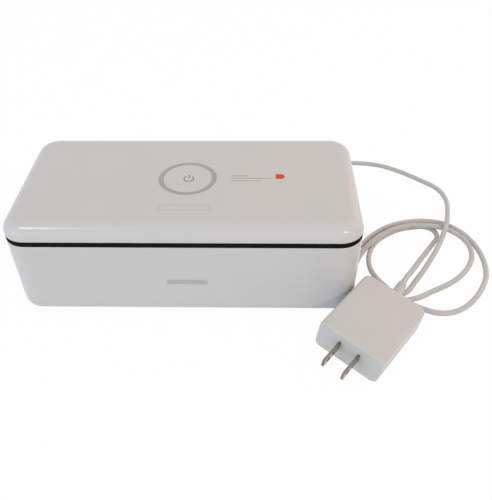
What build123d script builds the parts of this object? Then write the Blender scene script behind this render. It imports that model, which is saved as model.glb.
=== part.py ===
from build123d import *
from math import cos, pi, radians, sin, tan

# Tabletop sterilizing box for a phone: a drafted base on four feet, a hinged lid with an
# illuminated power button, and a mains adapter on a thin lead.
# Millimetres. Origin on the table under the middle of the box, +X to the right, +Y back, +Z up.

# Outer form
LENGTH = 210.0
DEPTH = 104.0
HEIGHT = 69.5
LID_HEIGHT = 11.5
FOOT_HEIGHT = 4.0
CORNER_RADIUS = 14.3
TOP_EDGE_RADIUS = 8.4
BOTTOM_EDGE_RADIUS = 6.3
SEAM_EDGE_RADIUS = 0.8
SMALLEST_CORNER = 1.0
DRAFT = 1.15
WALL = 2.5
LIP = 1.25
SEAM_GAP = 3.0
FIT = 0.05
CLEARANCE = 0.15
OVERCUT = 5.0
ROOT = 1.25

# Seals and magnets in the seam
BASE_LEDGE_DROP = 5.0
LID_LEDGE_RISE = 4.5
FLANGE = 1.5
SEAL_WIDTH = 5.6
SEAL_GAP = 0.2
MAGNET_LENGTH = 10.0
MAGNET_WIDTH = 4.0
MAGNET_THICKNESS = 2.0
MAGNET_INSET = 35.0

# Hinge
HINGE_INSET = 45.0
BARREL_RADIUS = 2.6
PIN_RADIUS = 1.0
PIN_CLEARANCE = 0.03
BASE_KNUCKLE = 8.0
LID_KNUCKLE = 12.0
KNUCKLE_GAP = 0.3
SWING_CLEARANCE = 0.35
REAR_RELIEF = 1.0
GUSSET_BACK = 0.5
GUSSET_DEPTH = 9.5
GUSSET_SHOULDER = 5.0
LID_WEB_RISE = 5.5

# Mirror-plated tray in the base
REAR_BAY = 14.0
MOUTH_RADIUS = 10.0
TRAY_FLOOR_Z = 14.5
TRAY_WALL = 1.5
TRAY_DRAFT = 3.0
TRAY_EDGE_RADIUS = 4.0

# Lamp boards and windows
WINDOW_RADIUS = 5.0
WINDOW_THICKNESS = 1.2
WINDOW_OPENING = 4.0
LAMP_SIZE = 3.5
LAMP_HEIGHT = 1.2
BOARD_THICKNESS = 1.6
LAMP_BOARD_WIDTH = 16.0
BASE_LAMP_INSET = 30.0
BASE_LAMP_COUNT = 4
BASE_BOARD_MARGIN = 10.0
LID_LAMP_INSET = 47.0
LID_LAMP_PITCH = 36.0
LID_BOARD_MARGIN = 14.0
RAIL_WIDTH = 1.2
RAIL_INSET = 2.4
RAIL_HEIGHT = 2.5
LID_RAIL_INSET = 1.2
LID_RAIL_HEIGHT = 1.8

# Wire rack
RACK_WIRE = 2.5
RACK_CROSS_WIRE = 2.0
RACK_WELD = 0.4
RACK_MARGIN_X = 10.0
RACK_MARGIN_Y = 8.5
RACK_RADIUS = 8.0
RACK_LIFT = 4.0
RACK_WIRE_COUNT = 12
RACK_LEG_INSET = 28.0

# Feet and the screws above them
FOOT_INSET = 21.0
FOOT_RADIUS = 6.0
FOOT_RECESS = 1.2
FOOT_EDGE_RADIUS = 0.8
SCREW_RADIUS = 1.45
SCREW_HEAD_RADIUS = 2.8
SCREW_HEAD_HEIGHT = 2.0
SCREW_HEAD_DEPTH = 2.2
BOSS_RADIUS = 5.0
BOSS_HEIGHT = 3.5
POST_RADIUS = 3.5
POST_BITE = 3.2

# Lid liner and its screws
LINER_INSET = 8.0
LINER_WALL = 1.5
LINER_DROP = 2.0
LINER_EDGE_RADIUS = 1.2
LID_SCREW_INSET_X = 21.0
LID_SCREW_INSET_Y = 18.0
LID_SCREW_RADIUS = 1.2
LID_SCREW_HEAD_RADIUS = 2.4
LID_SCREW_HEAD_HEIGHT = 1.3
LID_SCREW_BITE = 6.0
LID_BOSS_RADIUS = 3.0
COLLAR_RADIUS = 4.0
COLLAR_HEIGHT = 1.0

# Power button, light ring and control board
BUTTON_X = 0.0
BUTTON_Y = 0.0
RING_RADIUS = 18.0
RING_WIDTH = 2.8
RING_FLANGE = 2.0
RING_DEPTH = 4.5
RING_LIP = 1.8
BUTTON_GAP = 0.1
BUTTON_TOP = 1.8
BUTTON_SKIRT = 1.5
BUTTON_LEDGE = 1.0
BUTTON_LEDGE_GAP = 0.2
BUTTON_TRAVEL = 0.5
DISH_RADIUS = 8.8
DISH_DEPTH = 0.25
STEM_RADIUS = 3.0
CONTROL_LENGTH = 64.0
CONTROL_WIDTH = 44.0
CONTROL_THICKNESS = 1.2
CONTROL_DROP = 5.8
CONTROL_BOSS_RADIUS = 2.25
CONTROL_BOSS_X = 27.0
CONTROL_BOSS_Y = 17.0
STAKE_RADIUS = 1.0
STAKE_TIP = 0.4
SWITCH_SIZE = 6.0
SWITCH_HEIGHT = 2.7
PLUNGER_RADIUS = 1.75
PLUNGER_LENGTH = 2.7
PLUNGER_DEPTH = 1.4
INDICATOR_RADIUS = 16.5
INDICATOR_COUNT = 8
INDICATOR_SIZE = 2.0
INDICATOR_HEIGHT = 0.8

# Driver board and its parts in the rear bay
DRIVER_JACK_PITCH = 57.0
DRIVER_LENGTH = 90.0
DRIVER_HEIGHT = 28.0
DRIVER_Z = 12.0
DRIVER_BACK_GAP = 6.9
GUIDE_WIDTH = 4.0
GUIDE_DEPTH = 4.6
GUIDE_HEIGHT = 14.0
GUIDE_BITE = 2.5
INDUCTOR_SIZE = 8.0
INDUCTOR_CHAMFER = 1.3
INDUCTOR_X = 20.0
CAPACITOR_RADIUS = 3.0
CAPACITOR_X = -8.0
DRIVER_CHIP_SIZE = 6.0
DRIVER_CHIP_X = -25.0
DRIVER_PART_HEIGHT = 2.8
DRIVER_CHIP_HEIGHT = 1.0

# Lid sensor board on the front wall
SENSOR_DROP = 11.0
SENSOR_LENGTH = 10.0
SENSOR_HEIGHT = 8.0
SENSOR_THICKNESS = 1.0
SENSOR_CHIP = 3.0
SENSOR_CHIP_HEIGHT = 1.0
SENSOR_PAD = 0.6

# Power inlet
JACK_INSET = 33.0
JACK_Z = 18.0
JACK_WIDTH = 9.4
JACK_HEIGHT = 11.0
JACK_DEPTH = 9.0
JACK_NOSE_RADIUS = 4.0
JACK_NOSE_CLEARANCE = 0.2
JACK_NOSE_LENGTH = 5.0
JACK_BORE_DEPTH = 9.8
JACK_PIN_RADIUS = 1.05
JACK_PIN_SETBACK = 1.0
PLUG_BARREL_RADIUS = 2.75
PLUG_BARREL_BORE = 1.25
PLUG_BARREL_LENGTH = 9.0
PLUG_BARREL_FIT = 0.2
PLUG_GRIP_RADIUS = 5.0
PLUG_GRIP_LENGTH = 19.0
PLUG_TAIL_LENGTH = 15.5
PLUG_TAIL_RADIUS = 2.4
PLUG_EDGE = 0.8
PLUG_GROOVE = 0.4
PLUG_GROOVE_WIDTH = 1.2
PLUG_GROOVE_COUNT = 4
PLUG_GROOVE_PITCH = 3.2

# Mains adapter, lying beside the box
ADAPTER_WIDTH = 42.0
ADAPTER_LENGTH = 52.6
ADAPTER_THICKNESS = 20.3
ADAPTER_BACK_CORNER = 4.4
ADAPTER_UPPER_EDGE = 2.3
ADAPTER_LOWER_EDGE = 4.2
ADAPTER_FRONT_EDGE = 0.8
ADAPTER_PLACE = (94.8, -91.4)
ADAPTER_TURN = -37.0
ADAPTER_ROLL = 9.2
BLADE_SPACING = 12.7
BLADE_WIDTH = 6.35
BLADE_THICKNESS = 1.5
BLADE_LENGTH = 17.0
BLADE_RISE = 1.2
BLADE_ROOT = 6.0
BLADE_HOLE_RADIUS = 1.6
BLADE_HOLE_SETBACK = 5.0
BLADE_TIP_CHAMFER = 1.2
BLADE_EDGE_CHAMFER = 0.4
BOOT_LENGTH = 17.0
BOOT_ROOT_RADIUS = 4.1
BOOT_TIP_RADIUS = 2.7
BOOT_COLLAR = 3.0
BOOT_LEAN = 7.8

# Lead from the inlet plug to the adapter
CORD_DIAMETER = 3.5
CORD_POINTS = [
    (72, 86.5, 18), (72, 96.5, 18), (73, 108, 13.5), (77.5, 117, 6), (88, 123.5, 2), (100, 126, 1.8),
    (113.5, 126.5, 1.8), (139.5, 124.5, 1.8), (157, 114.5, 1.8), (172.5, 100.5, 1.8), (184.5, 89, 1.8),
    (188.5, 73, 2.2), (184.8, 53, 5.5), (179, 36, 9.3), (174.6, 24.5, 9), (169.5, 13.2, 6.8),
    (163.4, 1.8, 4.4), (156.2, -9.6, 2.2), (148, -21.4, 2.1), (141.8, -31, 4.2), (136.6, -36.5, 6.9),
    (129.1, -38.9, 6.6), (120.9, -37.5, 3.6), (113.2, -35.1, 1.8), (105.1, -36.2, 1.8),
    (100.6, -41.7, 1.8), (101.3, -48.7, 1.8), (106.8, -53.2, 1.8), (113.8, -52.5, 1.8),
    (118.9, -47.2, 1.8), (125.1, -43.1, 2.2), (133.1, -41.9, 4.6), (140.6, -41.3, 6.2),
    (147.4, -39.2, 4.2), (154.6, -35.4, 2.2), (161.5, -31, 1.8), (169.7, -25, 1.8),
    (177.5, -17.2, 1.8), (184.5, -7.4, 1.8), (189.6, 4, 1.8), (191.2, 16.5, 1.8), (188.6, 27, 2.1),
    (183, 32.5, 3.8), (174, 33.4, 5.7), (162.5, 32.5, 6), (151, 31, 5.8), (138, 26, 6.2),
    (127.5, 17.5, 6.7), (119, 10.5, 4.8), (112.5, 2, 1.9), (107, -7.5, 1.8), (104, -19, 1.8),
    (93, -25, 1.8), (81.5, -20, 1.8), (79, -8.5, 1.8), (86.5, 1.5, 1.8), (99, 4, 1.8), (108, 6, 1.8),
    (116.5, 14, 1.8), (123.5, 24, 1.8), (135.5, 34.5, 1.8), (151.5, 43.5, 1.8), (169, 46.5, 1.8),
    (183.5, 42.5, 1.8), (194, 27, 1.8), (198, 8, 1.8), (196.5, -12.5, 1.8), (189.5, -28.5, 1.8),
    (182, -39.5, 1.8), (173.5, -46.2, 1.8), (164.5, -49.4, 1.8), (155.8, -49, 1.8), (148, -45.6, 1.8),
    (141, -41.2, 1.8), (134.6, -35.4, 1.8), (128.2, -27, 1.8), (122.4, -17.8, 1.8), (119, -7.5, 1.8),
    (119.2, 3.5, 1.8), (123.6, 13.6, 1.8), (131.5, 23.5, 1.8), (145.5, 33, 1.8), (156, 37, 1.8),
    (164.6, 39.1, 1.8), (171.2, 34.7, 1.8), (172.4, 26.9, 1.8), (166.6, 19.4, 1.8), (159, 7.5, 2.2),
    (151.5, -5.5, 4.5), (144, -19, 8.5), (138.7, -27.6, 13.24), (134.79, -34.57, 13.07),
]
RUN_SHARE = 0.45

# Levels and places that follow from the sizes above
SEAM_Z = HEIGHT - LID_HEIGHT
BASE_TOP = SEAM_Z - SEAM_GAP / 2
LID_BOTTOM = SEAM_Z + SEAM_GAP / 2
FLOOR_TOP = FOOT_HEIGHT + WALL
CEILING = HEIGHT - WALL
LID_EDGE_RADIUS = min(TOP_EDGE_RADIUS, HEIGHT - LID_BOTTOM - SEAM_EDGE_RADIUS - FIT)
RIM_INSET = LIP + CLEARANCE
BASE_LEDGE_Z = SEAM_Z - BASE_LEDGE_DROP
TRAY_TOP = BASE_LEDGE_Z + FLANGE
TRAY_UNDERSIDE = TRAY_FLOOR_Z - TRAY_WALL
LID_LEDGE_Z = SEAM_Z + LID_LEDGE_RISE
LINER_FLANGE_Z = LID_LEDGE_Z - FLANGE
LINER_PANEL_Z = SEAM_Z - LINER_DROP
LINER_PANEL_TOP = LINER_PANEL_Z + LINER_WALL
MOUTH_INSET = RIM_INSET + SEAL_WIDTH
MOUTH_LENGTH = LENGTH - 2 * MOUTH_INSET
MOUTH_WIDTH = DEPTH - MOUTH_INSET - REAR_BAY
MOUTH_Y = (MOUTH_INSET - REAR_BAY) / 2
HINGE_X = LENGTH / 2 - HINGE_INSET
HINGE_Y = DEPTH / 2 - BARREL_RADIUS
STATION = LID_KNUCKLE + 2 * (KNUCKLE_GAP + BASE_KNUCKLE)
MAGNET_X = LENGTH / 2 - MAGNET_INSET
MAGNET_Y = RIM_INSET + SEAL_WIDTH / 2 - DEPTH / 2
FOOT_PLACES = [(x, y) for x in (FOOT_INSET - LENGTH / 2, LENGTH / 2 - FOOT_INSET)
               for y in (FOOT_INSET - DEPTH / 2, DEPTH / 2 - FOOT_INSET)]
LID_SCREW_PLACES = [(x, y) for x in (LID_SCREW_INSET_X - LENGTH / 2, LENGTH / 2 - LID_SCREW_INSET_X)
                    for y in (LID_SCREW_INSET_Y - DEPTH / 2, DEPTH / 2 - LID_SCREW_INSET_Y)]
BASE_LAMP_SPAN = LENGTH - 2 * BASE_LAMP_INSET
BASE_LAMP_PLACES = [(BASE_LAMP_SPAN * (i / (BASE_LAMP_COUNT - 1) - 1 / 2), MOUTH_Y)
                    for i in range(BASE_LAMP_COUNT)]
LID_LAMP_X = LENGTH / 2 - LID_LAMP_INSET
LID_LAMP_PLACES = [(x, y) for x in (-LID_LAMP_X, LID_LAMP_X)
                   for y in (-LID_LAMP_PITCH / 2, LID_LAMP_PITCH / 2)]
JACK_X = LENGTH / 2 - JACK_INSET
DRIVER_X = JACK_X - DRIVER_JACK_PITCH
BOSS_TOP = FLOOR_TOP + BOSS_HEIGHT
SCREW_SEAT_Z = FOOT_HEIGHT + FOOT_RECESS + SCREW_HEAD_DEPTH
BASE_BOARD_Z = FLOOR_TOP + RAIL_HEIGHT
LID_BOARD_Z = LINER_PANEL_TOP + LID_RAIL_HEIGHT
CONTROL_Z = CEILING - CONTROL_DROP - CONTROL_THICKNESS
RING_INNER = RING_RADIUS - RING_WIDTH
BUTTON_RADIUS = RING_INNER - BUTTON_GAP
SWITCH_TOP = CONTROL_Z + CONTROL_THICKNESS + SWITCH_HEIGHT
PLUNGER_TOP = SWITCH_TOP - PLUNGER_DEPTH + PLUNGER_LENGTH
DRIVER_Y = DEPTH / 2 - DRIVER_BACK_GAP
SENSOR_Z = SEAM_Z - SENSOR_DROP
SENSOR_WALL_Y = WALL + SENSOR_DROP * tan(radians(DRAFT)) - DEPTH / 2
INLET_Y = DEPTH / 2 - (SEAM_Z - JACK_Z) * tan(radians(DRAFT))
PLUG_FACE_Y = DEPTH / 2


def plan(inset, z):
    """Plan outline of the box, drawn in by an inset, at a height."""
    corner = max(CORNER_RADIUS - inset, SMALLEST_CORNER)
    return Pos(0, 0, z) * RectangleRounded(LENGTH - 2 * inset, DEPTH - 2 * inset, corner)


def slab(inset, low, high):
    return extrude(plan(inset, low), high - low)


def drafted(inset, low, high):
    """Solid between two heights whose sides lean out with the base's draft."""
    lean = (SEAM_Z - low) * tan(radians(DRAFT))
    return extrude(plan(inset + lean, low), high - low, taper=-DRAFT)


def block(x, y, z):
    """Box between low and high limits on each axis."""
    middle = Pos((x[0] + x[1]) / 2, (y[0] + y[1]) / 2, (z[0] + z[1]) / 2)
    return middle * Box(x[1] - x[0], y[1] - y[0], z[1] - z[0])


def centred_block(place, size, z):
    """Box of a given plan size, centred on a place, between two heights."""
    x, y = ((middle - width / 2, middle + width / 2) for middle, width in zip(place, size))
    return block(x, y, z)


def post(radius, place, low, high):
    return Pos(place[0], place[1], (low + high) / 2) * Cylinder(radius, high - low)


def rod_x(radius, x, y, z):
    """Round bar along X between two x values."""
    return Pos((x[0] + x[1]) / 2, y, z) * Rot(0, 90, 0) * Cylinder(radius, x[1] - x[0])


def turned(profile):
    """Solid of revolution about Z from (radius, height) points."""
    return revolve(Plane.XZ * make_face(Polyline(*profile, close=True)), Axis.Z)


def lowest_edges(solid):
    return solid.edges().group_by(Axis.Z)[0]


def highest_edges(solid):
    return solid.edges().group_by(Axis.Z)[-1]


def station_notches(low, high):
    """Room for the hinge knuckles, cut out of the frames that pass in front of them."""
    half = STATION / 2 + CLEARANCE
    front = HINGE_Y - BARREL_RADIUS - SWING_CLEARANCE
    return [block((x - half, x + half), (front, DEPTH), (low, high)) for x in (-HINGE_X, HINGE_X)]


def knuckle(profile, centres, length):
    """Barrels with their webs on the hinge line, at the given centres along X."""
    barrel = Circle(BARREL_RADIUS) + make_face(Polyline(*profile, close=True))
    section = Plane(origin=(0, HINGE_Y, SEAM_Z), x_dir=(0, 1, 0), z_dir=(1, 0, 0)) * barrel
    return [Pos(x - length / 2, 0, 0) * extrude(section, length) for x in centres]


def hinge_bores():
    half = STATION / 2 + OVERCUT
    radius = PIN_RADIUS + PIN_CLEARANCE
    return [rod_x(radius, (x - half, x + half), HINGE_Y, SEAM_Z) for x in (-HINGE_X, HINGE_X)]


# Base shell
def base_shell():
    shell = drafted(0, FOOT_HEIGHT, BASE_TOP)
    shell = fillet(lowest_edges(shell), BOTTOM_EDGE_RADIUS)
    shell = fillet(highest_edges(shell), SEAM_EDGE_RADIUS)
    cavity = drafted(WALL, FLOOR_TOP, BASE_TOP + OVERCUT)
    shell -= fillet(lowest_edges(cavity), BOTTOM_EDGE_RADIUS - WALL)
    shell -= slab(LIP, BASE_LEDGE_Z, BASE_TOP + OVERCUT)
    relief_z = SEAM_Z - BARREL_RADIUS - REAR_RELIEF
    shell -= block((-LENGTH, LENGTH), (HINGE_Y, DEPTH), (relief_z, BASE_TOP + OVERCUT))

    gusset = [(-BARREL_RADIUS, 0), (GUSSET_BACK, 0), (GUSSET_BACK, -GUSSET_DEPTH),
              (-BARREL_RADIUS, -GUSSET_SHOULDER)]
    offset = (LID_KNUCKLE + BASE_KNUCKLE) / 2 + KNUCKLE_GAP
    centres = [x + end for x in (-HINGE_X, HINGE_X) for end in (-offset, offset)]
    shell += knuckle(gusset, centres, BASE_KNUCKLE)
    shell -= hinge_bores()

    shell += [post(BOSS_RADIUS, place, FLOOR_TOP - ROOT, BOSS_TOP) for place in FOOT_PLACES]
    for place in FOOT_PLACES:
        shell -= post(FOOT_RADIUS + CLEARANCE, place, 0, FOOT_HEIGHT + FOOT_RECESS)
        shell -= post(SCREW_HEAD_RADIUS + CLEARANCE, place, 0, SCREW_SEAT_Z)
        shell -= post(SCREW_RADIUS + CLEARANCE, place, 0, BOSS_TOP)

    rail_length = BASE_LAMP_SPAN + BASE_BOARD_MARGIN
    for side in (-1, 1):
        place = (0, MOUTH_Y + side * (LAMP_BOARD_WIDTH / 2 - RAIL_INSET))
        shell += centred_block(place, (rail_length, RAIL_WIDTH), (FLOOR_TOP, BASE_BOARD_Z))
    return shell + board_guides() + jack_cradle() + sensor_pad() - inlet_hole()


def board_guides():
    """Two slotted posts that hold the driver board upright."""
    guides = []
    for side in (-1, 1):
        end = DRIVER_X + side * DRIVER_LENGTH / 2
        middle = end + side * (GUIDE_WIDTH / 2 - GUIDE_BITE)
        y = DRIVER_Y - BOARD_THICKNESS / 2
        guide = centred_block((middle, y), (GUIDE_WIDTH, GUIDE_DEPTH), (FLOOR_TOP, DRIVER_Z + GUIDE_HEIGHT))
        room = (2 * (GUIDE_BITE + CLEARANCE), BOARD_THICKNESS + 2 * FIT)
        slot = centred_block((end - side * GUIDE_BITE, y), room, (DRIVER_Z, DRIVER_Z + DRIVER_HEIGHT))
        guides.append(guide - slot)
    return guides


def jack_cradle():
    """Rest on the floor under the inlet's body."""
    depth = JACK_DEPTH / 2
    y = INLET_Y - WALL - depth
    return [centred_block((JACK_X, y), (JACK_WIDTH, depth), (FLOOR_TOP, JACK_Z - JACK_HEIGHT / 2))]


def sensor_pad():
    """Flat pad on the front wall, under the lid sensor's board."""
    y = (SENSOR_WALL_Y - ROOT, SENSOR_WALL_Y + SENSOR_PAD)
    z = (SENSOR_Z - SENSOR_HEIGHT / 2, SENSOR_Z + SENSOR_HEIGHT / 2)
    return [block((-SENSOR_LENGTH / 2, SENSOR_LENGTH / 2), y, z)]


def inlet_hole():
    hole = Cylinder(JACK_NOSE_RADIUS + JACK_NOSE_CLEARANCE, 2 * (WALL + OVERCUT))
    return Pos(JACK_X, INLET_Y, JACK_Z) * Rot(90, 0, 0) * hole


# Frames of dark foam that close the seam
def seal_frame(low, high, pocket_low, pocket_high, pocket_xs):
    """Ring under or over the seam, stopped short of the hinge line, with pockets for the magnets."""
    frame = slab(RIM_INSET, low, high) - slab(MOUTH_INSET, low, high)
    frame -= block((-LENGTH, LENGTH), (HINGE_Y - SWING_CLEARANCE, DEPTH), (low, high))
    frame -= station_notches(low, high)
    room = (MAGNET_LENGTH + 2 * CLEARANCE, MAGNET_WIDTH + 2 * CLEARANCE)
    frame -= [centred_block((x, MAGNET_Y), room, (pocket_low, pocket_high)) for x in pocket_xs]
    return frame


def magnet(x, low):
    return centred_block((x, MAGNET_Y), (MAGNET_LENGTH, MAGNET_WIDTH), (low, low + MAGNET_THICKNESS))


# Mirror tray
def tray_well(inset, floor, top):
    """Body of the tray or of its hollow: a rounded well that narrows downwards."""
    depth = BASE_LEDGE_Z + FLANGE - floor
    lean = depth * tan(radians(TRAY_DRAFT))
    corner = max(MOUTH_RADIUS - inset - lean, SMALLEST_CORNER)
    outline = RectangleRounded(MOUTH_LENGTH - 2 * (inset + lean), MOUTH_WIDTH - 2 * (inset + lean), corner)
    well = extrude(Pos(0, MOUTH_Y, floor) * outline, top - floor, taper=-TRAY_DRAFT)
    return fillet(lowest_edges(well), TRAY_EDGE_RADIUS - inset)


def tray():
    body = tray_well(-TRAY_WALL, TRAY_UNDERSIDE, TRAY_TOP) + slab(RIM_INSET, BASE_LEDGE_Z, TRAY_TOP)
    body -= station_notches(BASE_LEDGE_Z, TRAY_TOP)
    body -= tray_well(0, TRAY_FLOOR_Z, TRAY_TOP + OVERCUT)
    body += [post(POST_RADIUS, place, BOSS_TOP, TRAY_UNDERSIDE + TRAY_WALL / 2)
             for place in FOOT_PLACES]
    body -= [post(SCREW_RADIUS + FIT, place, BOSS_TOP, BOSS_TOP + POST_BITE + CLEARANCE)
             for place in FOOT_PLACES]
    for place in BASE_LAMP_PLACES:
        body -= post(WINDOW_RADIUS + FIT, place, TRAY_FLOOR_Z - WINDOW_THICKNESS, TRAY_FLOOR_Z + OVERCUT)
        body -= post(WINDOW_OPENING, place, TRAY_UNDERSIDE - OVERCUT, TRAY_FLOOR_Z)
    return body


def base_window(place):
    return post(WINDOW_RADIUS, place, TRAY_FLOOR_Z - WINDOW_THICKNESS, TRAY_FLOOR_Z)


def lid_window(place):
    return post(WINDOW_RADIUS, place, LINER_PANEL_Z, LINER_PANEL_Z + WINDOW_THICKNESS)


def lamp_board(size, centre, low, lamps, lamp_low):
    """Strip board with its lamps soldered on."""
    board = centred_block(centre, size, (low, low + BOARD_THICKNESS))
    heights = (lamp_low, lamp_low + LAMP_HEIGHT)
    return board + [centred_block(place, (LAMP_SIZE, LAMP_SIZE), heights) for place in lamps]


def base_lamp_board():
    length = BASE_LAMP_SPAN + 2 * BASE_BOARD_MARGIN
    top = BASE_BOARD_Z + BOARD_THICKNESS
    return lamp_board((length, LAMP_BOARD_WIDTH), (0, MOUTH_Y), BASE_BOARD_Z, BASE_LAMP_PLACES, top)


def lid_lamp_board(x):
    size = (LAMP_BOARD_WIDTH, LID_LAMP_PITCH + 2 * LID_BOARD_MARGIN)
    lamps = [place for place in LID_LAMP_PLACES if place[0] == x]
    return lamp_board(size, (x, 0), LID_BOARD_Z, lamps, LID_BOARD_Z - LAMP_HEIGHT)


# Wire rack that carries the phone
def item_rack():
    length = MOUTH_LENGTH - 2 * RACK_MARGIN_X
    width = MOUTH_WIDTH - 2 * RACK_MARGIN_Y
    z = TRAY_FLOOR_Z + RACK_LIFT
    loop = Pos(0, MOUTH_Y, z) * RectangleRounded(length, width, RACK_RADIUS)
    start = Plane(origin=(0, MOUTH_Y - width / 2, z), x_dir=(0, 1, 0), z_dir=(1, 0, 0))
    rack = sweep(start * Circle(RACK_WIRE / 2), path=loop.face().outer_wire())
    pitch = (length - 2 * RACK_RADIUS) / (RACK_WIRE_COUNT - 1)
    cross_z = z + (RACK_WIRE + RACK_CROSS_WIRE) / 2 - RACK_WELD
    for i in range(RACK_WIRE_COUNT):
        x = (i - (RACK_WIRE_COUNT - 1) / 2) * pitch
        rack += Pos(x, MOUTH_Y, cross_z) * Rot(90, 0, 0) * Cylinder(RACK_CROSS_WIRE / 2, width + RACK_WIRE)
    leg_x = length / 2 - RACK_LEG_INSET
    legs = [(x, MOUTH_Y + side * width / 2) for x in (-leg_x, leg_x) for side in (-1, 1)]
    return rack + [post(RACK_CROSS_WIRE / 2, place, TRAY_FLOOR_Z, z) for place in legs]


# Feet, screws and hinge pins
def rubber_foot(place):
    foot = post(FOOT_RADIUS, place, 0, FOOT_HEIGHT + FOOT_RECESS)
    return fillet(lowest_edges(foot), FOOT_EDGE_RADIUS)


def base_screw(place):
    head = post(SCREW_HEAD_RADIUS, place, SCREW_SEAT_Z - SCREW_HEAD_HEIGHT, SCREW_SEAT_Z)
    return head + post(SCREW_RADIUS, place, SCREW_SEAT_Z, BOSS_TOP + POST_BITE)


def lid_screw(place):
    head = post(LID_SCREW_HEAD_RADIUS, place, LINER_PANEL_TOP - LID_SCREW_HEAD_HEIGHT, LINER_PANEL_TOP)
    tip = LINER_PANEL_TOP + COLLAR_HEIGHT + LID_SCREW_BITE
    return head + post(LID_SCREW_RADIUS, place, LINER_PANEL_TOP, tip)


def hinge_pin(x):
    half = STATION / 2 - KNUCKLE_GAP
    return rod_x(PIN_RADIUS, (x - half, x + half), HINGE_Y, SEAM_Z)


# Boards in the base
def driver_board():
    y = (DRIVER_Y - BOARD_THICKNESS, DRIVER_Y)
    x = (DRIVER_X - DRIVER_LENGTH / 2, DRIVER_X + DRIVER_LENGTH / 2)
    return block(x, y, (DRIVER_Z, DRIVER_Z + DRIVER_HEIGHT))


def driver_place(x, height):
    """Middle of a component of the given height on the driver board's front face."""
    return Pos(DRIVER_X + x, DRIVER_Y - BOARD_THICKNESS - height / 2, DRIVER_Z + DRIVER_HEIGHT / 2)


def inductor():
    body = Box(INDUCTOR_SIZE, DRIVER_PART_HEIGHT, INDUCTOR_SIZE)
    body = chamfer(body.edges().filter_by(Axis.Y), INDUCTOR_CHAMFER)
    return driver_place(INDUCTOR_X, DRIVER_PART_HEIGHT) * body


def capacitor():
    can = Cylinder(CAPACITOR_RADIUS, DRIVER_PART_HEIGHT)
    return driver_place(CAPACITOR_X, DRIVER_PART_HEIGHT) * Rot(90, 0, 0) * can


def driver_chip():
    chip = Box(DRIVER_CHIP_SIZE, DRIVER_CHIP_HEIGHT, DRIVER_CHIP_SIZE)
    return driver_place(DRIVER_CHIP_X, DRIVER_CHIP_HEIGHT) * chip


def sensor_board():
    y = SENSOR_WALL_Y + SENSOR_PAD
    board = Pos(0, y + SENSOR_THICKNESS / 2, SENSOR_Z) * Box(SENSOR_LENGTH, SENSOR_THICKNESS, SENSOR_HEIGHT)
    chip = Box(SENSOR_CHIP, SENSOR_CHIP_HEIGHT, SENSOR_CHIP)
    return board + Pos(0, y + SENSOR_THICKNESS + SENSOR_CHIP_HEIGHT / 2, SENSOR_Z) * chip


def power_jack():
    """Barrel inlet: body behind the wall, round nose through it, contact pin in the bore."""
    back = INLET_Y - WALL - JACK_DEPTH
    body = centred_block((JACK_X, (back + INLET_Y - WALL) / 2), (JACK_WIDTH, JACK_DEPTH),
                         (JACK_Z - JACK_HEIGHT / 2, JACK_Z + JACK_HEIGHT / 2))
    body = Pos(0, -CLEARANCE - (JACK_HEIGHT / 2) * tan(radians(DRAFT)), 0) * body
    axis = Pos(JACK_X, INLET_Y, JACK_Z) * Rot(90, 0, 0)
    body += axis * Pos(0, 0, JACK_NOSE_LENGTH / 2) * Cylinder(JACK_NOSE_RADIUS, JACK_NOSE_LENGTH)
    bore = Cylinder(PLUG_BARREL_RADIUS + PLUG_BARREL_FIT, JACK_BORE_DEPTH)
    body -= axis * Pos(0, 0, JACK_BORE_DEPTH / 2) * bore
    pin_length = JACK_BORE_DEPTH - JACK_PIN_SETBACK
    return body + axis * Pos(0, 0, JACK_BORE_DEPTH - pin_length / 2) * Cylinder(JACK_PIN_RADIUS, pin_length)


# Lid shell
def lid_shell():
    shell = slab(0, LID_BOTTOM, HEIGHT)
    shell = fillet(highest_edges(shell), LID_EDGE_RADIUS)
    shell = fillet(lowest_edges(shell), SEAM_EDGE_RADIUS)
    cavity = slab(WALL, LID_BOTTOM - OVERCUT, CEILING)
    shell -= fillet(highest_edges(cavity), LID_EDGE_RADIUS - WALL)
    shell -= slab(LIP, LID_BOTTOM - OVERCUT, LID_LEDGE_Z)

    room = BARREL_RADIUS + SWING_CLEARANCE
    half = STATION / 2 + KNUCKLE_GAP
    shell -= [rod_x(room, (x - half, x + half), HINGE_Y, SEAM_Z) for x in (-HINGE_X, HINGE_X)]
    web = [(-BARREL_RADIUS, 0), (BARREL_RADIUS, 0), (BARREL_RADIUS, LID_WEB_RISE),
           (-BARREL_RADIUS, LID_WEB_RISE)]
    shell += knuckle(web, [-HINGE_X, HINGE_X], LID_KNUCKLE)
    shell -= hinge_bores()

    centre = (BUTTON_X, BUTTON_Y)
    shell -= post(RING_RADIUS + FIT, centre, CEILING - OVERCUT, HEIGHT + OVERCUT)
    for place in LID_SCREW_PLACES:
        boss_low = LINER_PANEL_TOP + COLLAR_HEIGHT
        shell += post(LID_BOSS_RADIUS, place, boss_low, CEILING + ROOT)
        shell -= post(LID_SCREW_RADIUS + FIT, place, boss_low, boss_low + LID_SCREW_BITE + CLEARANCE)
    for place in control_places():
        shell += post(CONTROL_BOSS_RADIUS, place, CONTROL_Z + CONTROL_THICKNESS, CEILING + ROOT)
        shell += post(STAKE_RADIUS, place, CONTROL_Z - STAKE_TIP, CONTROL_Z + CONTROL_THICKNESS)
    return shell


def control_places():
    return [(BUTTON_X + i * CONTROL_BOSS_X, BUTTON_Y + j * CONTROL_BOSS_Y)
            for i in (-1, 1) for j in (-1, 1)]


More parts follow.
